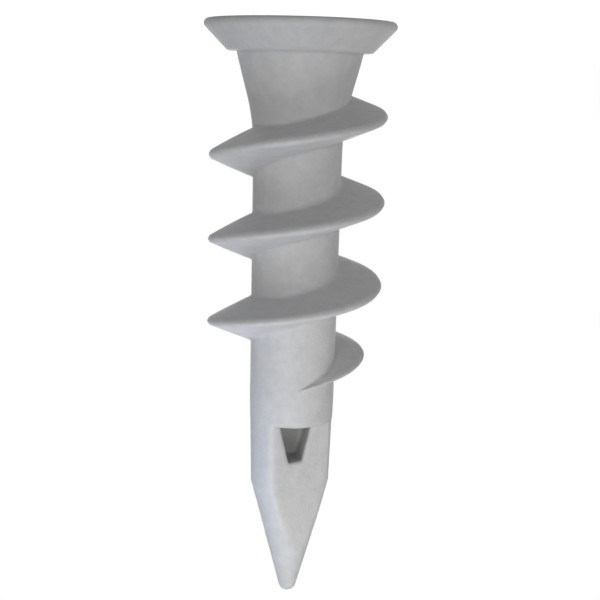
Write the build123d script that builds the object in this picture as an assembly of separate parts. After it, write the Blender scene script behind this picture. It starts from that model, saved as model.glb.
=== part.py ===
from build123d import *
import math
import os

# A self-drilling wall anchor, moulded in nylon as one piece.
# Sizes are in millimetres. The flat outer face of the head lies on the plane z = 0, the
# anchor's axis is Z, and the drill point is at the top. Angles are in degrees, counted
# anticlockwise about Z from the X axis.

# Whole anchor
overall_length = 41.0

# Countersunk head, with a rounded rim and a flat ledge underneath
head_radius = 6.5
head_height = 2.08
head_cone_angle = 44.0
rim_round = 0.31
ledge_round = 0.25

# Neck, a cone that widens towards the head and runs into the body in a long hollow curve
neck_radius = 4.31
neck_angle = 14.9
neck_hollow_radius = 14.0

# Body, nearly parallel behind the neck and slightly tapered towards the point
body_radius = 3.07
body_taper_start = 26.2
body_taper_radius = 2.99

# Conical point, which ends in a ball nose
point_start = 32.4
point_radius = 2.82
nose_radius = 0.65

# Helical flight, right-handed: it climbs towards the point as its angle grows. The mould
# parts in the XZ plane. There the flank towards the point is wider, and on the +X side also
# the flank towards the head, so that the mould's halves draw off
flight_radius = 6.08
flight_pitch = 5.815
flight_flank_angle = 16.0
parting_head_flank_angle = 28.5
parting_point_flank_angle = 20.8
flight_flank_bulge = 0.05
flight_crest_width = 0.38
flight_crest_chamfer = 0.14
flight_root_round = 0.35
flight_root_sink = 0.04
flight_base_radius = 2.3
flight_start_height = 3.505
flight_start_angle = 15.0

# The flight grows out of the neck and sinks back into the body through these angles. It
# sinks fast at first and then more and more gently, by the power run_out_ease
run_in_angle = 100.0
run_out_start_angle = 1224.0
run_out_angle = 160.0
run_out_ease = 1.9
run_sink = 0.25
section_step = 30.0

# Two parallel flats that turn the end of the body into a spade
spade_start = 27.6
spade_thickness = 2.96
spade_angle = 237.0
spade_edge_round = 0.4

# Blind screw bore. It ends in a flattened pocket, a little narrower than the bore, which
# opens through one flat as a window
bore_radius = 1.6
bore_end = 26.0
pocket_radius = 1.35
window_angle = 256.0
window_end = 30.6
window_start_width = 2.66
window_end_width = 1.1
window_corner_round = 0.2
pocket_wall = 0.55

# Cross recess for the driver, and the funnel in its middle that leads the screw in
recess_depth = 7.5
recess_mouth_span = 7.4
recess_floor_span = 3.8
recess_mouth_width = 1.9
recess_floor_width = 1.4
recess_corner_round = 0.25
recess_angle = 14.0
funnel_mouth_radius = 2.2


def slope(angle):
    """Sideways travel for each millimetre along the axis."""
    return math.tan(math.radians(angle))


def turned_outline(points):
    """Face in the XZ plane whose corners are given as radius and height."""
    return make_face(Plane.XZ * Polyline(*points, close=True))


def corner(face, radius, height):
    """Corner of a turned outline at the given radius and height."""
    return face.vertices().sort_by_distance((radius, 0, height))[0]


def head():
    """Countersunk head: a cone between the rounded rim and the ledge."""
    half_corner = math.radians((90.0 - head_cone_angle) / 2)
    rim = head_radius + rim_round * (1 / math.tan(half_corner) - 1)
    ledge = rim - head_height * slope(head_cone_angle)
    face = turned_outline([(0, 0), (rim, 0), (ledge, head_height), (0, head_height)])
    face = fillet(corner(face, rim, 0), rim_round)
    face = fillet(corner(face, ledge, head_height), ledge_round)
    return revolve(face, Axis.Z)


def neck_end():
    """Height at which the cone of the neck would meet the body."""
    return head_height + (neck_radius - body_radius) / slope(neck_angle)


def neck_and_body():
    """Neck and body, up to the start of the point."""
    face = turned_outline(
        [
            (0, head_height / 2),
            (neck_radius, head_height / 2),
            (neck_radius, head_height),
            (body_radius, neck_end()),
            (body_taper_radius, body_taper_start),
            (point_radius, point_start),
            (0, point_start),
        ]
    )
    face = fillet(corner(face, body_radius, neck_end()), neck_hollow_radius)
    return revolve(face, Axis.Z)


def point():
    """Conical point: the cone is tangent to the ball nose."""
    nose_centre = overall_length - nose_radius
    reach = nose_centre - point_start
    lean = math.atan2(point_radius, reach) - math.asin(nose_radius / math.hypot(point_radius, reach))
    tangent = (nose_radius * math.cos(lean), nose_centre + nose_radius * math.sin(lean))
    halfway = (math.pi / 2 + lean) / 2
    middle = (nose_radius * math.cos(halfway), nose_centre + nose_radius * math.sin(halfway))
    outline = [
        Line((0, point_start), (point_radius, point_start)),
        Line((point_radius, point_start), tangent),
        ThreePointArc(tangent, middle, (0, overall_length)),
        Line((0, overall_length), (0, point_start)),
    ]
    return revolve(make_face([Plane.XZ * edge for edge in outline]), Axis.Z)


def spade(stem):
    """The stem with two parallel flats, whose long edges are rounded."""
    length = overall_length - spade_start
    reach = 2 * body_radius
    for side in (0, 180):
        beyond = Box(2 * reach, reach, length, align=(Align.CENTER, Align.MIN, Align.MIN))
        beyond = Pos(0, spade_thickness / 2, spade_start) * beyond
        stem = stem - Rot(0, 0, spade_angle - 90 + side) * beyond
    for side in (0, 180):
        normal = Vector(1, 0, 0).rotate(Axis.Z, spade_angle + side)
        flat = stem.faces().filter_by(Plane((0, 0, 0), z_dir=normal)).sort_by(Axis((0, 0, 0), normal))[-1]
        rim = [edge for edge in flat.edges() if edge.center().Z > spade_start + spade_edge_round]
        stem = fillet(rim, spade_edge_round)
    return stem


def core_radius(height):
    """Radius of the neck or body under the flight, without the hollow curve."""
    neck = neck_radius - (height - head_height) * slope(neck_angle)
    taper = (body_taper_radius - point_radius) / (point_start - body_taper_start)
    body = body_taper_radius - taper * max(0.0, height - body_taper_start)
    return max(neck, body)


def flight_height(angle):
    """Height of the crest at an angle."""
    return flight_start_height + flight_pitch * (angle - flight_start_angle) / 360.0


def crest_radius(angle):
    """Radius of the crest, which starts and ends a little under the surface."""
    end_angle = run_out_start_angle + run_out_angle
    share_in = (angle - flight_start_angle) / run_in_angle
    share_out = max(0.0, (end_angle - angle) / run_out_angle)
    share = min(share_in, share_out**run_out_ease, 1.0)
    sunk = core_radius(flight_height(angle)) - run_sink
    return sunk + (flight_radius - sunk) * share


def flank_slope(parting_flank_angle, share):
    """Slope of a flank between its usual angle and, at a full share, its parting angle."""
    return slope(flight_flank_angle + (parting_flank_angle - flight_flank_angle) * share)


def flight_section(angle):
    """Section of the flight in the half plane through the axis at an angle.

    The full section has two convex flanks, a narrow chamfered crest and small root rounds.
    It is scaled about its base inside the body, so it keeps its form as the flight sinks.
    """
    full = flight_radius - flight_base_radius
    share = (crest_radius(angle) - flight_base_radius) / full
    half_crest = flight_crest_width / 2
    sideways = math.cos(math.radians(angle))
    head_slope = flank_slope(parting_head_flank_angle, max(0.0, sideways) ** 2)
    point_slope = flank_slope(parting_point_flank_angle, sideways**2)
    base_head = -half_crest - full * head_slope - flight_root_round
    base_point = half_crest + full * point_slope + flight_root_round
    surface = min(body_radius, core_radius(flight_height(angle) + base_point))
    root = surface - flight_root_sink - flight_base_radius
    root_head = -half_crest - (full - root) * head_slope
    root_point = half_crest + (full - root) * point_slope
    outline = [
        Polyline((root, root_head), (root, base_head), (0, base_head), (0, base_point), (root, base_point)),
        Line((root, base_point), (root, root_point)),
        SagittaArc((root, root_point), (full, half_crest), flight_flank_bulge),
        Line((full, half_crest), (full, -half_crest)),
        SagittaArc((full, -half_crest), (root, root_head), flight_flank_bulge),
    ]
    face = make_face(outline)
    for height in (root_head, root_point):
        face = fillet(face.vertices().sort_by_distance((root, height))[0], flight_root_round)
    face = chamfer(face.vertices().group_by(Axis.X)[-1], flight_crest_chamfer)
    outward = Vector(1, 0, 0).rotate(Axis.Z, angle)
    base = outward * flight_base_radius + Vector(0, 0, flight_height(angle))
    return Plane(base, x_dir=outward, z_dir=outward.cross(Vector(0, 0, 1))) * scale(face, share)


def flight():
    """The helical flight, lofted through its sections from the neck to the run-out."""
    total = run_out_start_angle + run_out_angle - flight_start_angle
    count = math.ceil(total / section_step)
    angles = [flight_start_angle + total * n / count for n in range(count + 1)]
    return loft([flight_section(angle) for angle in angles])


def cross(span, width, height):
    """Cross-shaped outline of the recess at a height, with rounded corners."""
    outline = Rectangle(span, width) + Rectangle(width, span)
    outline = fillet(outline.vertices(), recess_corner_round)
    return Pos(0, 0, height) * Rot(0, 0, recess_angle) * outline


def driver_recess():
    """Tapered cross for the driver and the funnel that ends at the screw bore."""
    mouth = cross(recess_mouth_span, recess_mouth_width, 0)
    floor = cross(recess_floor_span, recess_floor_width, recess_depth)
    upright = (Align.CENTER, Align.CENTER, Align.MIN)
    funnel = Cone(funnel_mouth_radius, bore_radius, recess_depth, align=upright)
    return loft([mouth, floor]) + funnel


def window_half_width(height):
    """Half the width of the pocket and its window, which narrow towards the point."""
    share = (height - spade_start) / (window_end - spade_start)
    return (window_start_width + (window_end_width - window_start_width) * share) / 2


def pocket_outline(bottom):
    """Outline of the pocket from a height to its end, seen through the window."""
    wide = window_half_width(bottom)
    narrow = window_half_width(window_end)
    corners = [(-wide, bottom), (wide, bottom), (narrow, window_end), (-narrow, window_end)]
    face = make_face(Polyline(*corners, close=True))
    face = fillet(face.vertices().group_by(Axis.Y)[-1], window_corner_round)
    return Plane.XZ * face


def screw_bore():
    """Round bore, flattened pocket at its end, and the window into the pocket."""
    round_part = Cylinder(bore_radius, bore_end, align=(Align.CENTER, Align.CENTER, Align.MIN))
    tip = Cylinder(pocket_radius, window_end, align=(Align.CENTER, Align.CENTER, Align.MIN))
    turn = math.radians(window_angle - spade_angle)
    slant = window_start_width / 2 * math.sin(turn)
    depth_behind = (spade_thickness / 2 - pocket_wall - slant) / math.cos(turn)
    pocket = Pos(0, depth_behind, 0) * extrude(pocket_outline(bore_end), depth_behind + pocket_radius)
    window = extrude(pocket_outline(spade_start), 2 * body_radius)
    hollow = round_part + (tip & pocket) + window
    return Rot(0, 0, window_angle - 270) * hollow


def main():
    os.makedirs("parts", exist_ok=True)
    stem = spade(neck_and_body() + point())
    anchor = head() + stem + flight() - driver_recess() - screw_bore()
    anchor.label = "drywall_anchor"
    export_step(anchor, "parts/drywall_anchor.step")


main()
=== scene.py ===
# %% [markdown]
# # A drywall anchor in Blender
#
# The real object is a self-drilling wall anchor, moulded in light grey nylon as one piece. The
# CAD model already holds its form: the countersunk head, the neck, the helical flight, the
# bore with its window and the spade point. This lesson puts the camera where the photograph was
# taken from, gives the nylon its finish, and builds a small studio around it.
#
# Everything is in metres, so a millimetre is 0.001. The anchor stands on its head: the head's
# outer face lies on the floor at z = 0 and the drill point is at the top.

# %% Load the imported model
import bpy
import math
from mathutils import Matrix, Vector


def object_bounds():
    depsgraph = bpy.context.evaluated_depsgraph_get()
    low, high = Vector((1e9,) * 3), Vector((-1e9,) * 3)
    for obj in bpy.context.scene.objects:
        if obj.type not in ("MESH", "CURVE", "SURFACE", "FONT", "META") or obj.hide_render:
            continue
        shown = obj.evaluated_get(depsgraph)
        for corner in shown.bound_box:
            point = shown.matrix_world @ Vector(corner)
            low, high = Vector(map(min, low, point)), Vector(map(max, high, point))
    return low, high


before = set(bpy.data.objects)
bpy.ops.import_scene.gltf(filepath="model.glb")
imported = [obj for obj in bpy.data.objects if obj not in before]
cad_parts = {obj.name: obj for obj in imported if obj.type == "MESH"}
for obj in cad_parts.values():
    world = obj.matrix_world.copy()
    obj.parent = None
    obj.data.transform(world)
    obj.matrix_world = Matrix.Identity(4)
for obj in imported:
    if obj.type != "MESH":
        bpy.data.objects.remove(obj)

MM = 0.001
cad_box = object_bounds()
scene = bpy.context.scene
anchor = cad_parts["drywall_anchor"]
box_mm = [[round(value / MM, 2) for value in corner] for corner in cad_box]
print("anchor:", len(anchor.data.polygons), "faces, box", box_mm)

# %% [markdown]
# ## The camera
#
# The photograph shows the anchor with its head up, so the picture is upside down against the
# model: the camera is rolled by half a turn. It stands 76.5 mm from the axis, near the height
# of the neck, and looks up along the flight, which bows the crest lines as they do in the
# photograph. A turn about the camera's own axes is easiest to read as three matrices in a row:
# the swing to the side, the tilt upwards, and the roll.

# %% Place the camera
CAMERA_DISTANCE = 76.5 * MM
CAMERA_HEIGHT = 3.67 * MM
CAMERA_SWING = 0.3155
CAMERA_TILT = 101.4
CAMERA_ROLL = 181.49
LENS = 66.47
SENSOR_WIDTH = 36.0

camera_data = bpy.data.cameras.new("camera")
camera_data.sensor_width = SENSOR_WIDTH
camera_data.lens = LENS
camera_data.clip_start = MM
camera = bpy.data.objects.new("camera", camera_data)
scene.collection.objects.link(camera)
stand = Matrix.Translation((0, -CAMERA_DISTANCE, CAMERA_HEIGHT))
swing = Matrix.Rotation(math.radians(CAMERA_SWING), 4, "Z")
tilt = Matrix.Rotation(math.radians(CAMERA_TILT), 4, "X")
roll = Matrix.Rotation(math.radians(CAMERA_ROLL), 4, "Z")
camera.matrix_world = stand @ swing @ tilt @ roll
scene.camera = camera
print("camera at", [round(value / MM, 1) for value in camera.location], "mm, lens", LENS)

# %% [markdown]
# ## Shader maths
#
# A finish is a small formula, such as "cloudiness times a share plus mottling times the rest".
# Adding each node by hand hides that formula, so one class wraps a node's output. Its operators
# and its method maths add Math nodes, and its method add makes any other node: the settings
# first, then the sockets.


# %% A socket with operators
class Socket:
    """An output socket of a node tree, or the tree itself when it has no socket yet."""

    def __init__(self, tree, socket=None):
        self.tree = tree
        self.socket = socket

    def add(self, kind, settings=None, sockets=None, output=0):
        """Adds a node: its settings first, then the values or links of its sockets."""
        node = self.tree.nodes.new(kind)
        for name, value in (settings or {}).items():
            setattr(node, name, value)
        for name, value in (sockets or {}).items():
            if isinstance(value, Socket):
                self.tree.links.new(value.socket, node.inputs[name])
            else:
                node.inputs[name].default_value = value
        return Socket(self.tree, node.outputs[output]) if len(node.outputs) else Socket(self.tree)

    def maths(self, operation, other=0.0):
        """A Math node on this value and another one."""
        return self.add("ShaderNodeMath", {"operation": operation}, {0: self, 1: other})

    def __add__(self, other):
        return self.maths("ADD", other)

    def __mul__(self, other):
        return self.maths("MULTIPLY", other)

    def __lt__(self, other):
        return self.maths("LESS_THAN", other)

    def __gt__(self, other):
        return self.maths("GREATER_THAN", other)

    def __abs__(self):
        return self.maths("ABSOLUTE")

    __radd__ = __add__
    __rmul__ = __mul__


def new_tree(owner):
    """An empty node tree on a material or world."""
    owner.use_nodes = True
    owner.node_tree.nodes.clear()
    return Socket(owner.node_tree)


print("Socket adds a Math node for +, *, <, > and abs")

# %% [markdown]
# ## The nylon
#
# Moulded nylon is dull but not dead: light enters the plastic and comes out again a little
# further on, so thin rims look soft. Its colour is cloudy over a few millimetres and mottled
# over one, because the melt cools unevenly. Moulding leaves three marks: a fine grain from the
# steel of the mould, slight waves where the plastic sinks as it cools, and a hair-thin seam where
# the two halves of the mould meet. A picture of plastic could be wrapped around the anchor
# instead, but it would stretch on the flanks of the flight, so noise in three dimensions is used.
#
# All of it reads Object coordinates, scaled to millimetres, so that the pattern keeps its size
# and goes round the flight without a join. The seam lies in the plane of the mould's parting,
# which goes through the anchor's axis, so it is simply a band around y = 0.

# %% Helpers for the patterns
nylon = bpy.data.materials.new("nylon")
tree = new_tree(nylon)
metres = tree.add("ShaderNodeTexCoord", output="Object")
place = tree.add("ShaderNodeMapping", {}, {"Vector": metres, "Scale": (1 / MM, 1 / MM, 1 / MM)})


def noise(scale, detail, roughness=0.5):
    """Noise from 0 to 1, with the number of features in each millimetre."""
    sockets = {"Vector": place, "Scale": scale, "Detail": detail, "Roughness": roughness}
    return place.add("ShaderNodeTexNoise", {"noise_dimensions": "3D"}, sockets)


def fade(value, start, end, first, last):
    """Goes smoothly from the first number to the last, as the value goes from start to end."""
    sockets = {"Value": value, "From Min": start, "From Max": end, "To Min": first, "To Max": last}
    return value.add("ShaderNodeMapRange", {"interpolation_type": "SMOOTHSTEP"}, sockets)


print("helpers: noise and fade, on", len(nylon.node_tree.nodes), "nodes")

# %% Patterns in the nylon
SEAM_HALF_WIDTH = 0.05
clouds = noise(0.22, 3.0)
mottle = noise(1.3, 4.0, 0.65)
grain = noise(3.5, 3.0, 0.6)
sink = noise(0.55, 1.0)
across = place.add("ShaderNodeSeparateXYZ", {}, {"Vector": place}, output="Y")
seam = fade(abs(across), 0.0, SEAM_HALF_WIDTH, 1.0, 0.0)
print("patterns:", len(nylon.node_tree.nodes), "nodes")

# %% [markdown]
# ## Painted shade inside the bore
#
# The bore ends behind the window. In the photograph its inside looks darker than the lamps alone
# would leave it, so it gets painted shade: a darker grey than the rest. The anchor is one mesh
# with one material, so a mask finds the inside by its place: near the axis, lower than the end of
# the window, and between the two flats of the spade. The painted shade grows from nothing at the
# surface of the flat to its full strength a little way in, and it fades out down the bore.

# %% Mask for the painted shade inside the bore, in millimetres
FLAT_ANGLE = math.radians(237.0)
FLAT_DISTANCE = 1.48
FRONT_MARGIN = 0.02
BACK_MARGIN = 0.1
FULLY_DARK_DISTANCE = 0.9
WALL_REACH = 2.05
WINDOW_END = 30.9
LIGHT_HEIGHT = 12.0
FULLY_DARK_HEIGHT = 24.0

outward = (math.cos(FLAT_ANGLE), math.sin(FLAT_ANGLE), 0.0)
no_height = (1.0, 1.0, 0.0)
up = place.add("ShaderNodeSeparateXYZ", {}, {"Vector": place}, output="Z")
distance = place.add(
    "ShaderNodeVectorMath", {"operation": "DOT_PRODUCT"}, {0: place, 1: outward}, output="Value"
)
flattened = place.add("ShaderNodeVectorMath", {"operation": "MULTIPLY"}, {0: place, 1: no_height})
radius = place.add("ShaderNodeVectorMath", {"operation": "LENGTH"}, {0: flattened}, output="Value")

below_flat = fade(distance, FULLY_DARK_DISTANCE, FLAT_DISTANCE - FRONT_MARGIN, 1.0, 0.0)
near_window = fade(up, LIGHT_HEIGHT, FULLY_DARK_HEIGHT, 0.0, 1.0)
before_back = distance > BACK_MARGIN - FLAT_DISTANCE
# Where the inside of the bore gets painted shade, from 0 to 1.
painted_shade_mask = below_flat * near_window * (radius < WALL_REACH) * (up < WINDOW_END) * before_back
print("mask: full", round(FLAT_DISTANCE - FULLY_DARK_DISTANCE, 2), "mm under the flat")

# %% [markdown]
# ## The colour
#
# The clouds and the mottling are mixed into one share, which picks a grey between a darker and
# a lighter one. Both stand around the grey that the nylon has in plain light. The mask then
# lays painted shade, a flat darker grey, over the inside of the bore.

# %% Colour of the nylon
NYLON = (0.56, 0.56, 0.57)
DARKER = 0.78
LIGHTER = 1.22
CLOUD_SHARE = 0.3
# Painted shade: the flat grey that darkens the inside of the bore.
PAINTED_BORE_SHADE = (0.41, 0.41, 0.41, 1.0)


def shade_of_nylon(strength):
    """The nylon's colour, lighter or darker, as a colour socket takes it."""
    return tuple(strength * part for part in NYLON) + (1.0,)


def blend(share, first, second):
    """Colour that goes from the first to the second as the share goes from 0 to 1.

    A Mix node has sockets for each kind of data, so its colour sockets are picked by number.
    """
    sockets = {0: share, 6: first, 7: second}
    return share.add("ShaderNodeMix", {"data_type": "RGBA"}, sockets, output=2)


unevenness = CLOUD_SHARE * clouds + (1 - CLOUD_SHARE) * mottle
colour = blend(unevenness, shade_of_nylon(DARKER), shade_of_nylon(LIGHTER))
# Painted shade laid over the inside of the bore.
colour = blend(painted_shade_mask, colour, PAINTED_BORE_SHADE)
print("colour: between", DARKER, "and", LIGHTER, "times", NYLON)

# %% [markdown]
# ## Soft edges and relief
#
# No edge of the real anchor is sharp: the crest of the flight, its roots and the rims of the
# flats are all worn smooth by the mould's polish. The model has their larger rounds. The Bevel
# node adds the last few tenths of a millimetre in the shading alone: it blends the normals of
# the surfaces within its radius, so the light runs over an edge without a hard line. The relief
# then goes on top of that. Its heights are in millimetres.

# %% Relief of the nylon
EDGE_SOFTNESS = 0.6 * MM
GRAIN_HEIGHT = 0.03
SINK_HEIGHT = 0.03
MOTTLE_HEIGHT = 0.05
SEAM_HEIGHT = 0.012

height = GRAIN_HEIGHT * grain + SINK_HEIGHT * sink + MOTTLE_HEIGHT * mottle + SEAM_HEIGHT * seam
soft_edges = tree.add("ShaderNodeBevel", {"samples": 8}, {"Radius": EDGE_SOFTNESS})
relief = tree.add(
    "ShaderNodeBump",
    {},
    {"Strength": 1.0, "Distance": MM, "Height": height, "Normal": soft_edges},
)
highest = GRAIN_HEIGHT + SINK_HEIGHT + MOTTLE_HEIGHT + SEAM_HEIGHT
print("relief: up to", round(highest, 3), "mm high")

# %% [markdown]
# ## The finish on the anchor
#
# One Principled shader holds the finish: the roughness of a dull plastic, a little duller where
# the clouds are light, the refraction of nylon, and a small share of light that passes through
# the plastic. A larger share would make the thin tips of the flight glow.

# %% Put the nylon on the anchor
ROUGHNESS = 0.52
CLOUDY_ROUGHNESS = 0.12
shader = tree.add(
    "ShaderNodeBsdfPrincipled",
    {"subsurface_method": "RANDOM_WALK"},
    {
        "Base Color": colour,
        "Roughness": ROUGHNESS + CLOUDY_ROUGHNESS * clouds,
        "IOR": 1.53,
        "Subsurface Weight": 0.1,
        "Subsurface Radius": (1.0, 1.0, 1.0),
        "Subsurface Scale": 0.5 * MM,
        "Normal": relief,
    },
)
tree.add("ShaderNodeOutputMaterial", {}, {"Surface": shader})
anchor.data.materials.clear()
anchor.data.materials.append(nylon)
print("nylon:", len(nylon.node_tree.nodes), "nodes on", anchor.name)

# %% [markdown]
# ## Floor and background
#
# The photograph was taken on white. A floor lit to white would flood the anchor with light from
# below, so the floor and the world are white only for the rays that the camera and clear
# reflections send out. For every other ray the floor is a plain pale sheet. Its glow and the
# lamps' light on it come to just about white together, so the anchor's shadow still shows on it.

# %% Studio floor
FLOOR_SIZE = 320 * MM
bpy.ops.object.select_all(action="DESELECT")
bpy.ops.mesh.primitive_plane_add(size=FLOOR_SIZE, location=(0, 0, 0))
floor = bpy.context.object
floor.name = "floor"
print("floor:", floor.name, FLOOR_SIZE / MM, "mm wide")

# %% Paper that the camera sees as white
PAPER = (0.35, 0.35, 0.35, 1.0)
BLACK = (0.0, 0.0, 0.0, 1.0)
FLOOR_GLOW = 0.82


def seen_directly(tree):
    """One for rays of the camera and of clear reflections, and zero for the others."""
    names = ("Is Camera Ray", "Is Glossy Ray", "Is Transmission Ray")
    from_camera, mirrored, through = [tree.add("ShaderNodeLightPath", output=n) for n in names]
    return from_camera.maths("MAXIMUM", mirrored).maths("MAXIMUM", through)


paper = bpy.data.materials.new("floor_paper")
tree = new_tree(paper)
glow = blend(seen_directly(tree), BLACK, (FLOOR_GLOW, FLOOR_GLOW, FLOOR_GLOW, 1.0))
sheet = tree.add(
    "ShaderNodeBsdfPrincipled",
    {},
    {"Base Color": PAPER, "Roughness": 0.8, "Emission Color": glow, "Emission Strength": 1.0},
)
tree.add("ShaderNodeOutputMaterial", {}, {"Surface": sheet})
floor.data.materials.append(paper)
print("paper:", len(paper.node_tree.nodes), "nodes on", floor.name)

# %% White backdrop and dim light from all around
WHITE = (1.0, 1.0, 1.0, 1.0)
AMBIENT = 0.2
world = bpy.data.worlds.new("studio")
scene.world = world
tree = new_tree(world)
backdrop = tree.add("ShaderNodeBackground", {}, {"Color": WHITE, "Strength": 1.0})
ambient = tree.add("ShaderNodeBackground", {}, {"Color": WHITE, "Strength": AMBIENT})
mix = tree.add("ShaderNodeMixShader", {}, {0: seen_directly(tree), 1: ambient, 2: backdrop})
tree.add("ShaderNodeOutputWorld", {}, {"Surface": mix})
scene.view_settings.view_transform = "Standard"
print("world: white backdrop, ambient", AMBIENT)

# %% [markdown]
# ## Lamps
#
# In the photograph the drill point is the brightest part, and the light fades towards the
# head. So two small lamps hang close to the point: the nearer a lamp is, the faster its light
# falls off. A very small one beside them is blue, and tints the left side of the point as in
# the photograph. Two faintly yellow lamps in front, as low as the first turn of the flight,
# fill the neck and the body. A wide one on the picture's right rounds the flight, and a wide
# weak one behind keeps the back readable when the part is turned. The camera doesn't see the
# lamps themselves, so that none of them shows as a disc in a view from another side.


# %% Hang the lamps
WHITE_LIGHT = (1.0, 1.0, 1.0)
BLUE_LIGHT = (0.65, 0.92, 1.45)
WARM_LIGHT = (1.0, 1.0, 0.96)
LAMP_TARGET = (0, 0, 20)


def lamp(name, size, power, spot, colour=WHITE_LIGHT):
    """Soft disc lamp: size and place in millimetres, power in watts, turned to the anchor."""
    data = bpy.data.lights.new(name, "AREA")
    data.shape = "DISK"
    data.size = size * MM
    data.energy = power
    data.color = colour
    holder = bpy.data.objects.new(name, data)
    scene.collection.objects.link(holder)
    holder.visible_camera = False
    holder.location = Vector(spot) * MM
    towards = Vector(LAMP_TARGET) * MM - holder.location
    holder.rotation_euler = towards.to_track_quat("-Z", "Y").to_euler()
    print("lamp", name, "at", spot, "mm,", power, "W")


lamp("lamp_near_point", 20, 0.0032, (10, -26, 40))
lamp("lamp_beyond_point", 20, 0.0022, (-14, -22, 50))
lamp("lamp_beside_point", 10, 0.0006, (16, -9, 38), BLUE_LIGHT)
lamp("lamp_front_left", 20, 0.0085, (30, -80, 11), WARM_LIGHT)
lamp("lamp_front", 20, 0.017, (-10, -110, 11), WARM_LIGHT)
lamp("lamp_picture_right", 120, 0.058, (-180, -80, 30))
lamp("lamp_back", 150, 0.14, (0, 200, 60))
